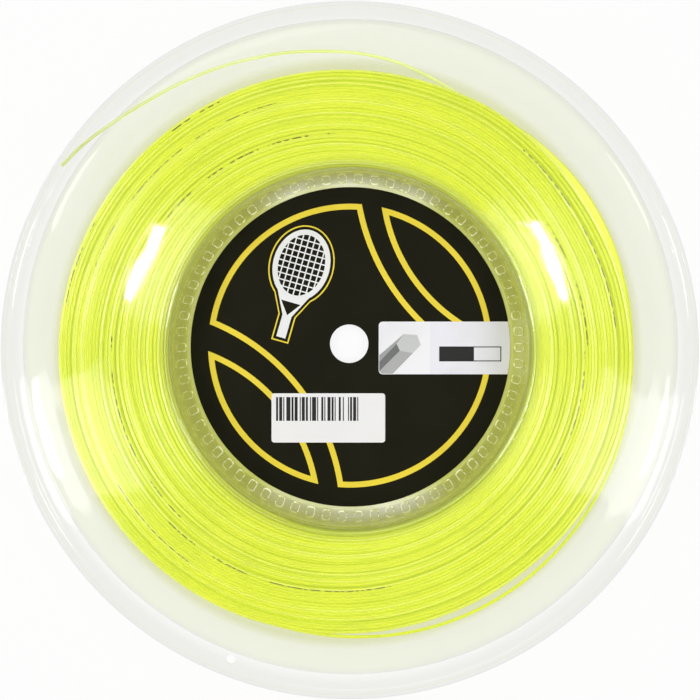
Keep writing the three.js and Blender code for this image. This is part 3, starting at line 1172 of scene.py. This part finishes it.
# Sheets of turns: depth is how far one lies below the face, inset how far in from the outside, sway how
# far its turns wander, loose how uneven their gaps are, and rise how many gauges lie between it and the
# pack's corners
topSheet = {"front": True, "turns": 31, "start": 250, "depth": 0, "inset": 0, "sway": 0.00026, "loose": 1.3}
deepSheet = {"turns": 28, "depth": 0.0009, "inset": 0.0003, "sway": 0.0002, "loose": 0.2, "look": shadedBelowLook}
faceSheets = {
    "faceTurnsBelow": dict(deepSheet, front=True, start=40),
    "rearTurns": dict(topSheet, front=False, turns=30, start=110, sway=0.00022, look=stringLook),
    "rearTurnsAbove": dict(deepSheet, front=False, start=300),
}
sideSheets = {
    "sideTurns": {"turns": 9, "start": 20, "rise": 2.2, "inset": 0.0002, "sway": 0.0003},
    "sideTurnsBelow": {"turns": 11, "start": 200, "rise": 1.6, "inset": 0.0012, "sway": 0.0001},
}


def blend(before, here, after, beyond, t):
    # A smooth curve from here to after, for numbers or vectors
    a = -0.5 * t + t ** 2 - 0.5 * t ** 3
    b = 1 - 2.5 * t ** 2 + 1.5 * t ** 3
    c = 0.5 * t + 2 * t ** 2 - 1.5 * t ** 3
    d = -0.5 * t ** 2 + 0.5 * t ** 3
    return before * a + here * b + after * c + beyond * d


def roundTable(table):
    # A smooth closed function of the angle through (degrees, millimetres) pairs, in metres
    count = len(table)

    def value(degrees):
        degrees %= 360
        for index, (start, _) in enumerate(table):
            end = table[(index + 1) % count][0]
            if end <= start:
                end += 360
            here = degrees if degrees >= start else degrees + 360
            if here < end:
                around = [table[(index + step) % count][1] for step in (-1, 0, 1, 2)]
                return blend(*around, (here - start) / (end - start)) / 1000
        return table[0][1] / 1000

    return value


def wobble(slow, fast, count=5):
    # A smooth random wave of the turn count, about -1 to 1
    waves = [(random.uniform(slow, fast), random.uniform(0, 2 * math.pi)) for _ in range(count)]

    def value(turn):
        return sum(math.sin(2 * math.pi * rate * turn + phase) for rate, phase in waves) / math.sqrt(count)

    return value


frontOutside = roundTable(packSpec["frontOutside"])
rearOutside = roundTable(packSpec["rearOutside"])


def spacedTurns(turns, loose):
    # Where each turn lies between a sheet's first edge (0) and its last (1): most gaps alike, a few wider
    rareness = 7
    gaps = [1 + random.random() ** rareness * loose for _ in range(turns)]
    total = sum(gaps)
    places = [0]
    for gap in gaps:
        places.append(places[-1] + gap / total)
    return places


def shareAt(places, turn):
    index = min(int(turn), len(places) - 2)
    return places[index] + (places[index + 1] - places[index]) * (turn - index)


def faceSheet(spec, sheet):
    # Points of one sheet of turns over a face, from its outermost turn in to the drum
    places = spacedTurns(sheet["turns"], sheet["loose"])
    drift = wobble(slow=0.23, fast=1.1)
    dip = wobble(slow=0.3, fast=1.4)
    outside = frontOutside if sheet["front"] else rearOutside
    half = spec["gauge"] / 2
    outer = spec["meanOutside"] - half - sheet["inset"]
    points = []
    for step in range(sheet["turns"] * spec["steps"] + 1):
        turn = step / spec["steps"]
        share = shareAt(places, turn)
        angle = sheet["start"] - 360 * turn
        fade = min(share * spec["faceFade"], (1 - share) * spec["faceFade"], 1)
        wave = (outside(angle) - spec["meanOutside"]) * (1 - share ** spec["waveDepth"])
        wave += spec["swell"] * 4 * share * (1 - share) * math.cos(math.radians(angle - spec["swellAngle"]))
        part = turn - int(turn)
        lift = part * min((1 - part) * spec["crossing"], 1) * (1 - share) ** spec["crossingDepth"]
        radius = outer + (spec["innerRadius"] - outer) * share + wave + sheet["sway"] * drift(turn) * fade
        radius += lift * spec["pitch"]
        lower = sheet["depth"] + spec["faceDip"] * (1 + dip(turn))
        if sheet["front"]:
            height = frontInner(radius) - spec["clearance"] - half - lower
        else:
            height = rearInner(radius) + spec["clearance"] + half + lower
        points.append(polar(angle, radius, height))
    return points


def sideSheet(spec, sheet):
    # Points of one sheet of turns round the pack's outside, from the front to the rear
    places = spacedTurns(sheet["turns"], spec["sideLoose"])
    drift = wobble(slow=0.2, fast=0.9)
    swell = wobble(slow=0.3, fast=1.3)
    half = spec["gauge"] / 2
    rise = sheet["rise"] * spec["gauge"]
    low = rearInner(spec["cornerRadius"]) + spec["clearance"] + half + rise
    high = frontInner(spec["cornerRadius"]) - spec["clearance"] - half - rise
    points = []
    for step in range(sheet["turns"] * spec["steps"] + 1):
        turn = step / spec["steps"]
        share = shareAt(places, turn)
        angle = sheet["start"] + 360 * turn
        outer = frontOutside(angle) * (1 - share) + rearOutside(angle) * share
        fade = min(share * spec["sideFade"], (1 - share) * spec["sideFade"], 1)
        radius = outer - half - sheet["inset"] + spec["sideSwell"] * swell(turn)
        height = high + (low - high) * share + sheet["sway"] * drift(turn) * fade
        points.append(polar(angle, radius, height))
    return points


def windString(name, points, gauge, material, *nodes):
    # A thread through the points, of eight sides, as a mesh with its own map along and around the string
    deselectAll()
    bpy.ops.curve.primitive_nurbs_path_add(location=(0, 0, 0))
    piece = bpy.context.object
    piece.name = name
    curve = piece.data
    curve.splines.clear()
    spline = curve.splines.new("POLY")
    spline.points.add(len(points) - 1)
    for knot, place in zip(spline.points, points):
        knot.co = (*place, 1)
    curve.dimensions = "3D"
    curve.twist_mode = "Z_UP"
    curve.bevel_depth = gauge / 2
    curve.bevel_resolution = 2
    curve.use_fill_caps = True
    bpy.ops.object.convert(target="MESH")
    piece = bpy.context.object
    bpy.ops.object.shade_smooth()
    finishPiece(piece, "string", *nodes, material=material)


# The last turn, which bulges away from the pack before the free end: degrees, radius in mm, height in mm
looseTurn = [
    (256, 107.7, 22.7), (262, 108.1, 22.3), (270, 108.9, 21.6), (280, 109.7, 20.8), (290, 110.3, 20.0),
    (300, 110.55, 19.2), (310, 110.55, 18.4), (320, 110.35, 17.4), (330, 110.1, 16.2), (340, 109.7, 14.8),
    (350, 109.2, 13.2), (360, 109.1, 11.6), (372, 109.5, 9.8), (384, 110.0, 8.2), (396, 109.9, 7.0),
    (408, 108.7, 6.2), (416, 107.4, 5.85), (420, 107.0, 5.76), (420.83, 107.013, 5.76),
]


def throughPoints(points, steps):
    # A smooth line through the points, with a number of steps between each pair
    line = []
    last = len(points) - 1
    for index in range(last):
        before = points[max(index - 1, 0)]
        beyond = points[min(index + 2, last)]
        for step in range(steps):
            line.append(blend(before, points[index], points[index + 1], beyond, step / steps))
    line.append(points[-1])
    return line


# Where the string's print shows: from and to in degrees, radius in mm
printedStretches = [
    (0, 48, 99.2), (0, 32, 88.6), (95, 145, 83.2), (107, 162, 98.6), (118, 130, 105.6), (153, 170, 108.0),
    (177, 225, 90.2), (210, 235, 100.6), (220, 280, 92.0), (330, 360, 88.0),
]


def findStretches(points, turns):
    # The turn of the wound string that passes nearest to the middle of each printed stretch
    found = []
    for start, end, radius in printedStretches:
        middle = polar((start + end) / 2, radius / 1000, 0)
        away = [math.hypot(point.x - middle.x, point.y - middle.y) for point in points]
        nearest = away.index(min(away))
        found.append((turns * nearest / (len(points) - 1), (end - start) / 360 / 2))
    return found


# The ring behind the turns
ringSpec = {"inside": 0.0691, "outside": 0.1035, "depth": 0.0026, "innerRound": 0.0004, "outerRound": 0.001}


def addRing(spec):
    inside = spec["inside"]
    outside = spec["outside"]
    depth = spec["depth"]
    corners = [
        (inside, rearInner(inside) + depth, spec["innerRound"]),
        (outside, rearInner(outside) + depth, spec["outerRound"]),
        (outside, frontInner(outside) - depth, spec["outerRound"]),
        (inside, frontInner(inside) - depth, spec["innerRound"]),
    ]
    piece = turnOutline("packRing", roundOff(corners), 144)
    finishPiece(piece, "string", "string_core", material=stringMaterial("packRingString", shadedBelowLook))


def addPack(spec):
    # The top sheet is taken from the drum out, ends in the loose turn and carries the print
    steps = 8
    gauge = spec["gauge"]
    upper = faceSheet(spec, topSheet)
    last = [polar(angle, radius / 1000, height / 1000) for angle, radius, height in looseTurn]
    last = throughPoints([upper[1], upper[0]] + last, steps)[steps:]
    upper = list(reversed(upper[1:])) + last
    turns = len(upper) / spec["steps"]
    material = stringMaterial("faceTurnsString", stringLook, turns, findStretches(upper, turns))
    windString("faceTurns", upper, gauge, material, "string_winding")
    for name, sheet in faceSheets.items():
        material = stringMaterial(name + "String", sheet["look"], sheet["turns"])
        windString(name, faceSheet(spec, sheet), gauge, material)
    for name, sheet in sideSheets.items():
        material = stringMaterial(name + "String", sideLook, sheet["turns"])
        windString(name, sideSheet(spec, sheet), gauge, material)


addPack(packSpec)
addRing(ringSpec)
print("string wound")


# Floor and light
floorSpec = {"size": 4.0, "height": -0.0003, "white": 0.97, "shown": 0.82}


def addFloor(spec):
    deselectAll()
    bpy.ops.mesh.primitive_plane_add(size=spec["size"], location=(0, 0, spec["height"]))
    floor = bpy.context.object
    floor.name = "paleFloor"
    s = Surface("floorPaper")
    white = spec["white"]
    paper = s.add("BsdfDiffuse", None, Color=(white, white, white, 1))
    bright = s.add("Emission", None, Color=(1, 1, 1, 1), Strength=1.0)
    seen = s.seenShare(s.add("LightPath").outputs)
    share = s.math("MULTIPLY", seen, spec["shown"])
    floor.data.materials.append(s.finish(s.mixShader(share, paper.outputs[0], bright.outputs[0])))


# fill lights the object, and shown is the white room that the camera and the clear plastic see. For what the
# string mirrors behind the flange, the room is bright low down beside the x axis and dim along the y axis.
worldSpec = {
    "fill": 0.42,
    "shown": 1.0,
    "bright": 4.2,
    "dim": 0.55,
    "facesPassed": 2.5,
    # ramps of the slope away from the x axis, and of the height
    "setsIn": (0.0, 0.3, 0.4, 1.0),
    "diesOut": (0.5, 1.2, 1.0, 0.0),
    "lowDown": (0.64, 0.8, 1.0, 0.0),
}


def addWorld(spec):
    s = Surface("studio", "worlds")
    path = s.add("LightPath").outputs
    plain = s.ramp(s.seenShare(path), 0.0, 1.0, spec["fill"], spec["shown"])
    x, y, z = s.parts(s.add("TexCoord").outputs["Generated"])
    slope = s.math("DIVIDE", s.math("ABSOLUTE", y), s.math("ABSOLUTE", x))
    beside = s.math("MULTIPLY", s.ramp(slope, *spec["setsIn"]), s.ramp(slope, *spec["diesOut"]))
    mirrored = s.math("SUBTRACT", s.ramp(beside, 0.0, 1.0, spec["dim"], spec["bright"]), 1.0)
    low = s.math("MULTIPLY", s.ramp(z, *spec["lowDown"]), path["Is Glossy Ray"])
    behind = s.math("GREATER_THAN", path["Transparent Depth"], spec["facesPassed"])
    low = s.math("MULTIPLY", low, behind)
    change = s.math("ADD", s.math("MULTIPLY", mirrored, low), 1.0)
    sky = s.add("Background", None, Color=(1, 1, 1, 1), Strength=s.math("MULTIPLY", plain, change))
    bpy.context.scene.world = s.finish(sky.outputs[0], "OutputWorld")


reelMiddle = Vector((0, 0, 0.02))
lampSpec = {
    # place, turn about the upright or None to face the reel, width, length, power
    "upperRight": ((0.159, 0.031, 1.03), 28, 0.008, 0.065, 0.17),
    "upperLeft": ((-0.186, 0.030, 1.03), 157, 0.008, 0.065, 0.17),
    "upperRightHaze": ((0.128, 0.022, 1.03), 28, 0.06, 0.1, 0.03),
    "upperLeftHaze": ((-0.152, 0.022, 1.03), 157, 0.06, 0.1, 0.035),
    "lowerLeft": ((-0.254, -0.13, 1.03), 199, 0.09, 0.115, 0.1),
    "lowerRight": ((0.241, -0.135, 1.03), 340, 0.09, 0.115, 0.1),
    "softTop": ((-0.35, 1.15, 1.5), None, 1.1, 1.1, 4.0),
    "lowSideLeft": ((-0.65, -0.23, 0.86), None, 0.17, 0.42, 2.1),
    "lowSideRight": ((0.65, -0.23, 0.86), None, 0.17, 0.42, 2.1),
    "highSideLeft": ((-0.62, 0.30, 0.86), None, 0.17, 0.42, 1.0),
    "highSideRight": ((0.62, 0.30, 0.86), None, 0.17, 0.42, 1.0),
}


def addLamps(lamps):
    for name, (place, turned, width, length, power) in lamps.items():
        if turned is None:
            turn = (reelMiddle - Vector(place)).to_track_quat("-Z", "Y").to_euler()
        else:
            turn = (0, 0, math.radians(turned))
        bpy.ops.object.light_add(type="AREA", location=place, rotation=turn)
        lamp = bpy.context.object
        lamp.name = name + "Lamp"
        lamp.data.shape = "RECTANGLE"
        lamp.data.size = width
        lamp.data.size_y = length
        lamp.data.energy = power


addFloor(floorSpec)
addWorld(worldSpec)
addLamps(lampSpec)
bpy.context.scene.view_settings.view_transform = "Standard"
print("floor, world and lamps set")
